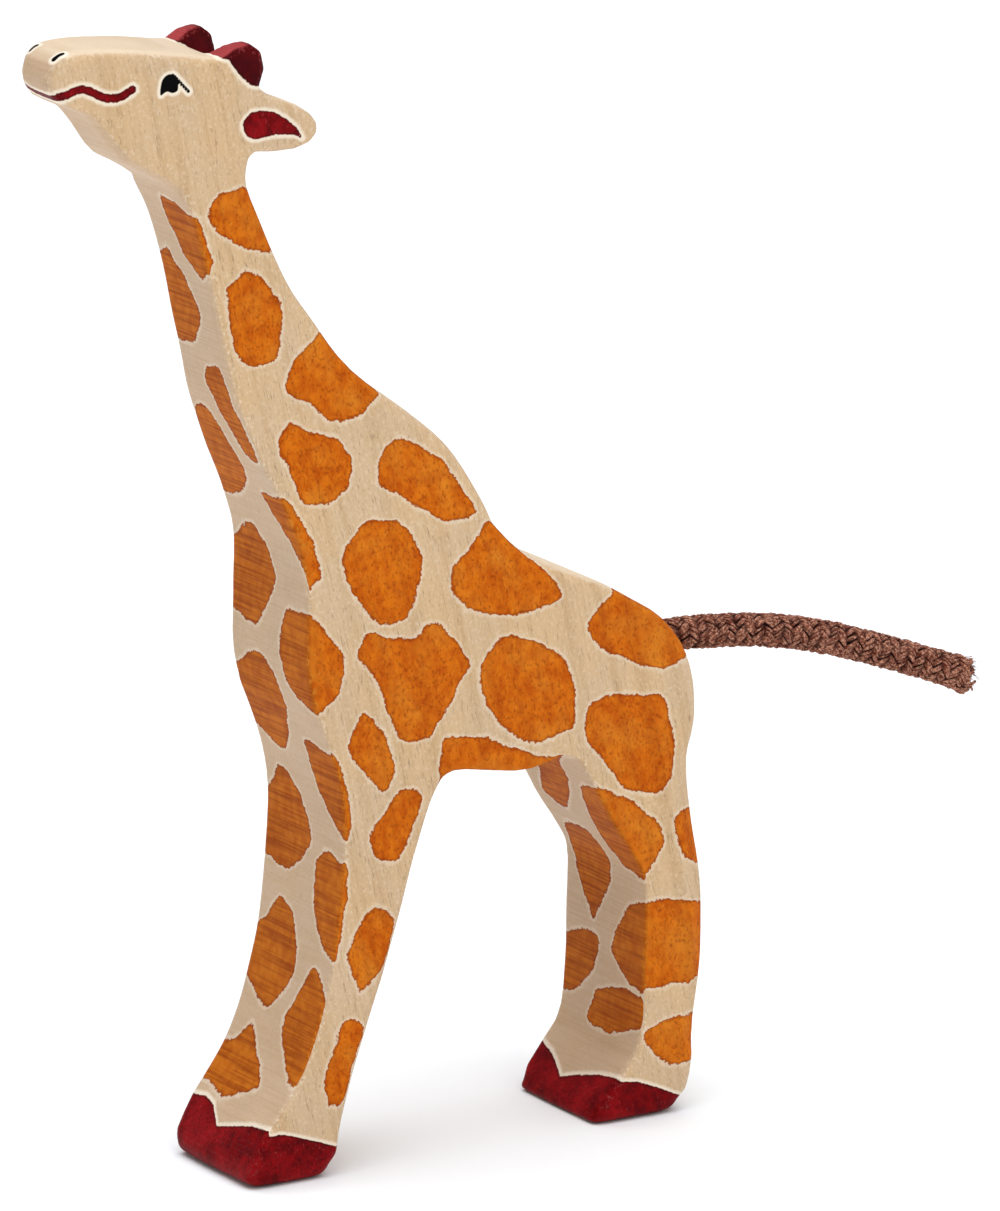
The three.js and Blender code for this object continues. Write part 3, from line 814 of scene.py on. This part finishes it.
def paintFields(points, normals):
    # The depth inside each paint, in millimetres, at every point of the wood, and how far each
    # point is on a sawn edge, which takes painted shade, faces up, which takes a painted highlight,
    # and on which of the horns' faces a painted highlight goes and on which painted shade
    look = paintPlaces
    x = points[:, 0] / mm - bellyLine
    y = points[:, 1] / mm
    z = points[:, 2] / mm
    acrossFacing = np.abs(normals[:, 1])
    isSide = smoothStep(*look["sideways"], acrossFacing)
    isFront = normals[:, 0] < look["forwards"]
    # The side outlines are laid on an edge as if it were unfolded flat beside the side
    flat = np.stack([normals[:, 0], normals[:, 2]], 1)
    flat /= np.maximum(np.linalg.norm(flat, axis=1), 1e-6)[:, None]
    fromSide = np.clip(halfThickness(x, z) - np.abs(y), 0, None)
    flatSide = np.stack([x, z], 1)
    onSide = flatSide + flat * fromSide[:, None]
    onFront = np.stack([y, z], 1)

    rightSide = deepest(onSide, [closedCurve(s) for s in sideSpots])
    leftSide = deepest(onSide, [roughOval(*s) for s in leftSpots])
    side = np.where(y < 0, rightSide, leftSide)
    frontLeg = deepest(onFront, [closedCurve(s) for s in frontSpots])
    hindLeg = deepest(onFront, [closedCurve(s) for s in hindFrontSpots])
    front = np.where(x < look["legDivide"], frontLeg, hindLeg)
    stain = np.where(isFront, isSide * side + (1 - isSide) * front, side)
    stain = np.where(z > look["spotTop"], bare, stain)

    horns = depthInOutline(flatSide, closedCurve(hornPaint))
    horns = np.where(np.abs(y) > look["hornOut"], horns, bare)
    ears = depthInOutline(flatSide, closedCurve(innerEar))
    ears = np.where((acrossFacing > 0.5) & (np.abs(y) > look["earOut"]), ears, bare)
    lipSide = look["lipSide"] - distanceToLine(flatSide, curveThrough(mouthSide, 4))
    lipFront = look["lipFront"] - distanceToLine(onFront, curveThrough(mouthFront, 4))
    isMuzzle = isFront & (x < look["lipTurn"])
    lips = np.where(isMuzzle, isSide * lipSide + (1 - isSide) * lipFront, lipSide)
    mouthX, mouthZ = look["mouthFrom"]
    lips = np.where((x < mouthX) & (z > mouthZ), lips, bare)
    frontHoof = hoofTop(x, y, isSide, isFront, frontHoofLine, frontHoofSide)
    hindHoof = hoofTop(x, y, isSide, isFront, hindHoofLine, hindHoofSide)
    hooves = np.where(x < look["hoofDivide"], frontHoof, hindHoof) - z
    wine = np.maximum.reduce([horns, ears, lips, hooves])

    eyes = depthInOutline(flatSide, closedCurve(eyeOutline, 0.5))
    lashes = look["lash"] - distanceToLine(flatSide, np.array(lash, float))
    eyes = np.where(acrossFacing > 0.6, np.maximum(eyes, lashes), bare)
    solid = np.stack([x, y, z], 1)
    noses = [look["nostril"] - distanceToLine(solid, np.array(n, float)) for n in nostrils]
    ink = np.maximum.reduce([eyes, *noses])
    onHorn = horns > -1
    # Painted light on the horns: a paler red where they face forward and up, as a painted highlight, and a
    # darker red on their other faces, as painted shade
    exposed = normals[:, 2] * 0.5 - normals[:, 0] * 0.85
    wearAndHighlight = smoothStep(0.3, 0.75, exposed) * (1 - isSide) * onHorn
    return {
        "stain": np.clip(stain, bare, -bare),
        "wine": np.clip(wine, bare, -bare),
        "ink": np.clip(ink, bare, -bare),
        "sawn": 1 - isSide,
        # Faces that look up: where a painted highlight goes
        "topHighlight": smoothStep(0.55, 0.95, normals[:, 2]),
        # Next, the painted highlight on the horns, and the painted shade on their other faces (thick)
        "wearAndHighlight": wearAndHighlight,
        "thick": (1 - wearAndHighlight) * onHorn,
    }


# Limewood or maple: pale and close-grained, sawn, carved and lightly waxed, so satin with
# soft growth lines, short flecks and fine saw streaks across the sawn edges. The finest
# patterns are drawn coarser than life, so that they show. "between" is how far a pattern
# moves the edge of the paint, as a part of its reach
woodLook = {
    "pale": "#CEAB7F",
    "line": "#B28C5C",
    "fleck": "#7C5C3C",
    "grey": "#C8AE92",
    "worn": "#E6D2B4",
    "halo": "#F2E4CE",
    # The sawn edges' own tone, made darker as painted shade on the faces that do not face sideways
    "sawn": "#BEA084",
    # Edge sharpness between which the wood turns lighter: wear and a painted highlight
    "edgeWearAndHighlight": (0.3, 0.8),
    "relief": {"lines": 0.5, "flecks": -0.35, "sawLines": 0.6, "cloud": 0.3},
    "patterns": {
        "lines": {"size": (2.0, 8.0, 80.0), "lean": 12, "detail": 5, "shows": (0.5, 0.68)},
        "fineLines": {"size": (0.33, 1.0, 14.0), "lean": 12, "detail": 3, "shows": (0.52, 0.7)},
        "flecks": {"size": (0.22, 0.4, 2.0), "lean": 12, "detail": 2, "shows": (0.62, 0.72)},
        "pores": {"size": (0.3, 0.3, 0.5), "lean": 12, "detail": 2, "shows": (0.62, 0.74)},
        "cloud": {"size": (9.0, 9.0, 16.0), "lean": 12, "detail": 3, "shows": (0.38, 0.62)},
        "patches": {"size": (5.0, 5.0, 6.5), "lean": 30, "detail": 4, "shows": (0.46, 0.7)},
        "mottle": {"size": (1.3, 1.3, 1.8), "lean": 12, "detail": 5, "shows": (0.36, 0.64)},
        "speckle": {"size": (0.42, 0.42, 0.6), "lean": 12, "detail": 3, "shows": (0.52, 0.68)},
        "sawMarks": {"size": (30.0, 16.0, 0.42), "lean": -6, "detail": 3, "shows": (0.44, 0.64)},
        "ragged": {"size": (0.5, 0.5, 0.5), "lean": 0, "detail": 3, "shows": (0, 1), "between": (-0.5, 0.5)},
        "wander": {"size": (2.4, 2.4, 2.4), "lean": 0, "detail": 2, "shows": (0, 1), "between": (-0.5, 0.5)},
    },
}
# Water stain brushed on by hand: the grain shows through, and it pools darker at the rim.
# Edge, rim and halo are the depths inside the paint, in millimetres, between which each comes in
stainLook = {
    "light": "#D06C10",
    "deep": "#AE4604",
    "glow": "#D98E2E",
    "rim": "#7E2C06",
    # The stain on faces that do not face sideways: the sawn wood's own take-up of it, made darker and greyer
    # as painted shade
    "sawnLight": "#C26C1C",
    "sawnDeep": "#9C4204",
    "edges": {"edge": (-0.08, 0.1), "rim": (0.5, 0.1), "halo": (-0.7, -0.15)},
    "rags": {"wander": 1.3, "ragged": 0.9},
}
# Thicker wine-red paint, darker where it pools at the rim, with painted shade on the sides of the horns,
# a painted highlight on their faces that look forward and up, and lighter on its edges, partly rubbed and
# partly a painted highlight
wineLook = {
    "bright": "#A0141A",
    "full": "#7C060B",
    "deep": "#4C0307",
    "dark": "#300408",
    # A paler red for worn spots, and for the painted highlight on the horns and edges
    "wearAndHighlight": "#A84444",
    "edges": {"edge": (-0.06, 0.1), "rim": (0.5, 0.1), "halo": (-0.75, -0.2)},
    "rags": {"ragged": 0.4},
}
# Black paint for the eyes and nostrils
inkLook = {
    "colour": "#030202",
    "edges": {"edge": (0.02, 0.14), "halo": (-0.6, -0.15)},
    "rags": {},
}
# How glossy each surface is: the waxed wood, the stain, which soaks in, and the paint
glossLook = {"wood": 0.5, "stain": 0.04, "satin": 0.56, "paint": 0.42}


def paintEdges(tree, name, look, masks):
    # Where one paint is, and its rim and halo, from the depth inside it made ragged
    depth = addNode(tree, "ShaderNodeAttribute", {"attribute_name": name}).outputs["Fac"]
    for pattern, reach in look["rags"].items():
        settings = {"operation": "MULTIPLY_ADD", 1: reach}
        depth = addNode(tree, "ShaderNodeMath", settings, {0: masks[pattern], 2: depth}).outputs[0]
    found = {}
    for part, (low, high) in look["edges"].items():
        settings = {"interpolation_type": "SMOOTHSTEP", "From Min": low, "From Max": high}
        found[part] = addNode(tree, "ShaderNodeMapRange", settings, {"Value": depth}).outputs[0]
    return found


def bareWood(tree, masks):
    look = woodLook
    return layCoats(tree, look["pale"], [
        (masks["cloud"], 0.45, look["grey"]),
        (masks["lines"], 0.42, look["line"]),
        (masks["fineLines"], 0.34, look["line"]),
        (masks["speckle"], 0.3, look["worn"]),
        (masks["flecks"], 0.5, look["fleck"]),
        (masks["pores"], 0.42, look["fleck"]),
        # Faces that do not face sideways take the darker sawn tone, partly the sawn wood and partly painted
        # shade
        (masks["sawn"], 0.6, look["sawn"]),
        # A painted highlight on the faces that look up
        (masks["topHighlight"], 0.6, look["worn"]),
        (masks["sawLines"], 0.2, look["line"]),
        # Lighter along the sharp edges: worn wood, and a painted highlight
        (masks["edgeWearAndHighlight"], 0.5, look["worn"]),
    ])


def brushedStain(tree, masks, stain):
    look = stainLook
    onSide = layCoats(tree, look["light"], [
        (masks["mottle"], 0.72, look["deep"]),
        (masks["patches"], 0.4, look["glow"]),
        (masks["speckle"], 0.55, look["rim"]),
        (masks["pores"], 0.45, look["glow"]),
    ])
    # On faces that do not face sideways the stain is a darker, greyer copy: painted shade, with real saw
    # streaks
    onSawnShaded = layCoats(tree, look["sawnLight"], [
        (masks["mottle"], 0.5, look["sawnDeep"]),
        (masks["sawMarks"], 0.6, look["rim"]),
        (masks["patches"], 0.3, look["sawnLight"]),
    ])
    return layCoats(tree, onSide, [
        (masks["sawn"], 1.0, onSawnShaded),
        (masks["lines"], 0.2, look["rim"]),
        (stain["rim"], 0.65, look["rim"]),
        # The stain paler on the sharp edges: rubbed thin, and a painted highlight
        (masks["edgeWearAndHighlight"], 0.6, look["glow"]),
    ])


def winePaint(tree, masks, wine):
    look = wineLook
    return layCoats(tree, look["full"], [
        (masks["mottle"], 0.75, look["deep"]),
        (masks["patches"], 0.6, look["bright"]),
        (masks["speckle"], 0.55, look["dark"]),
        (masks["pores"], 0.35, look["wearAndHighlight"]),
        (wine["rim"], 0.5, look["dark"]),
        # Painted shade on the horns' sides, then a painted highlight on their faces that look forward and up,
        # then lighter sharp edges, partly worn and partly a painted highlight
        (masks["thick"], 0.75, look["dark"]),
        (masks["wearAndHighlight"], 0.75, look["wearAndHighlight"]),
        (masks["edgeWearAndHighlight"], 0.5, look["wearAndHighlight"]),
    ])


def paintedWood():
    material, tree, shader = newMaterial("carved_pale_wood_hand_stained")
    place = addNode(tree, "ShaderNodeTexCoord").outputs["Object"]
    masks = drawPatterns(tree, place, woodLook["patterns"])
    for name in ("sawn", "edge", "topHighlight", "wearAndHighlight", "thick"):
        masks[name] = addNode(tree, "ShaderNodeAttribute", {"attribute_name": name}).outputs["Fac"]
    # Sharp edges are painted lighter, partly as wear and partly as a painted highlight
    low, high = woodLook["edgeWearAndHighlight"]
    settings = {"interpolation_type": "SMOOTHSTEP", "From Min": low, "From Max": high}
    sharp = addNode(tree, "ShaderNodeMapRange", settings, {"Value": masks["edge"]}).outputs[0]
    for name, first, second in (("edgeWearAndHighlight", sharp, "speckle"), ("sawLines", masks["sawn"], "sawMarks")):
        both = addNode(tree, "ShaderNodeMath", {"operation": "MULTIPLY"}, {0: first, 1: masks[second]})
        masks[name] = both.outputs[0]

    stain = paintEdges(tree, "stain", stainLook, masks)
    wine = paintEdges(tree, "wine", wineLook, masks)
    ink = paintEdges(tree, "ink", inkLook, masks)
    colour = layCoats(tree, bareWood(tree, masks), [
        (stain["halo"], 0.3, woodLook["halo"]),
        (stain["edge"], 1.0, brushedStain(tree, masks, stain)),
        (wine["halo"], 0.75, woodLook["halo"]),
        (wine["edge"], 1.0, winePaint(tree, masks, wine)),
        (ink["halo"], 0.85, woodLook["halo"]),
        (ink["edge"], 1.0, inkLook["colour"]),
    ])
    tree.links.new(colour, shader.inputs["Base Color"])

    most = {"operation": "MAXIMUM"}
    paint = addNode(tree, "ShaderNodeMath", most, {0: wine["edge"], 1: ink["edge"]})
    covered = addNode(tree, "ShaderNodeMath", most, {0: paint.outputs[0], 1: stain["edge"]})
    settings = {"To Min": glossLook["wood"], "To Max": glossLook["stain"]}
    level = addNode(tree, "ShaderNodeMapRange", settings, {"Value": covered.outputs[0]})
    tree.links.new(level.outputs[0], shader.inputs["Specular IOR Level"])
    settings = {"To Min": glossLook["satin"], "To Max": glossLook["paint"]}
    gloss = addNode(tree, "ShaderNodeMapRange", settings, {"Value": paint.outputs[0]})
    tree.links.new(gloss.outputs[0], shader.inputs["Roughness"])

    height = wine["edge"]
    for name, rise in woodLook["relief"].items():
        settings = {"operation": "MULTIPLY_ADD", 1: rise}
        height = addNode(tree, "ShaderNodeMath", settings, {0: masks[name], 2: height}).outputs[0]
    bump = addNode(tree, "ShaderNodeBump", {"Strength": 0.5, "Distance": 0.12 * mm}, {"Height": height})
    tree.links.new(bump.outputs[0], shader.inputs["Normal"])
    return material


def makeGiraffe():
    mesh = carvedMesh()
    mesh.name = "giraffe_wood"
    points, normals = meshArrays(mesh)
    points = knifeMarks(roundedSoles(mesh, points), normals)
    mesh.vertices.foreach_set("co", points.ravel())
    mesh.update()
    points, normals = meshArrays(mesh)
    obj = bpy.data.objects.new("giraffe_wood", mesh)
    bpy.context.collection.objects.link(obj)
    mesh.materials.clear()
    mesh.materials.append(paintedWood())
    mesh.polygons.foreach_set("use_smooth", [True] * len(mesh.polygons))
    fields = paintFields(points, normals)
    fields["edge"] = edgeSharpness(mesh, points, normals)
    for name, values in fields.items():
        setAttribute(obj, name, values)
    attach(obj, "figure")
    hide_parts("carved_body")
    print("giraffe carved:", len(points), "points")


makeGiraffe()

# The setting: a flat white paper floor under soft, even light, brightest on the giraffe's right side
stageLook = {
    "floor": "#F6F6F4",
    "floorShade": "#E4E4E0",
    "patterns": {"tooth": {"size": (3.0, 3.0, 3.0), "lean": 0, "detail": 2, "shows": (0.3, 0.7)}},
    "floorSize": 12.0,
    "keyPower": 3.4,
    "keyPlace": (0.10, -1.05, 0.75),
    "keySize": 0.9,
    "fillPower": 1.4,
    "fillPlace": (-1.2, -0.2, 0.5),
    "fillSize": 1.0,
    "overhead": 2.9,
    "overheadTint": (0.95, 1.0, 1.08),
    "overheadSpread": 70,
    "sky": 0.35,
}


def whitePaper():
    material, tree, shader = newMaterial("matt_white_paper")
    shader.inputs["Roughness"].default_value = 0.9
    shader.inputs["Specular IOR Level"].default_value = 0.1
    place = addNode(tree, "ShaderNodeTexCoord").outputs["Object"]
    tooth = drawPatterns(tree, place, stageLook["patterns"])["tooth"]
    colour = layCoats(tree, stageLook["floor"], [(tooth, 0.04, stageLook["floorShade"])])
    tree.links.new(colour, shader.inputs["Base Color"])
    return material


def makeStage():
    half = stageLook["floorSize"] / 2
    verts = [(-half, -half, 0), (half, -half, 0), (half, half, 0), (-half, half, 0)]
    floor = newObject("paper_floor", verts, [(0, 1, 2, 3)], whitePaper())
    for name in ("key", "fill"):
        data = bpy.data.lights.new(name + "_light", "AREA")
        data.shape = "SQUARE"
        data.size = stageLook[name + "Size"]
        data.energy = stageLook[name + "Power"]
        light = bpy.data.objects.new(name + "_light", data)
        light.location = stageLook[name + "Place"]
        aim = Vector(cameraLook["target"]) - light.location
        light.rotation_euler = aim.to_track_quat("-Z", "Y").to_euler()
        bpy.context.collection.objects.link(light)
    data = bpy.data.lights.new("overhead_light", "SUN")
    data.energy = stageLook["overhead"]
    data.color = stageLook["overheadTint"]
    data.angle = math.radians(stageLook["overheadSpread"])
    overhead = bpy.data.objects.new("overhead_light", data)
    bpy.context.collection.objects.link(overhead)
    world = bpy.data.worlds.new("studio")
    world.use_nodes = True
    background = world.node_tree.nodes["Background"]
    background.inputs["Color"].default_value = (1, 1, 1, 1)
    background.inputs["Strength"].default_value = stageLook["sky"]
    bpy.context.scene.world = world
    bpy.context.scene.view_settings.view_transform = "Standard"


makeStage()
print("stage lit")
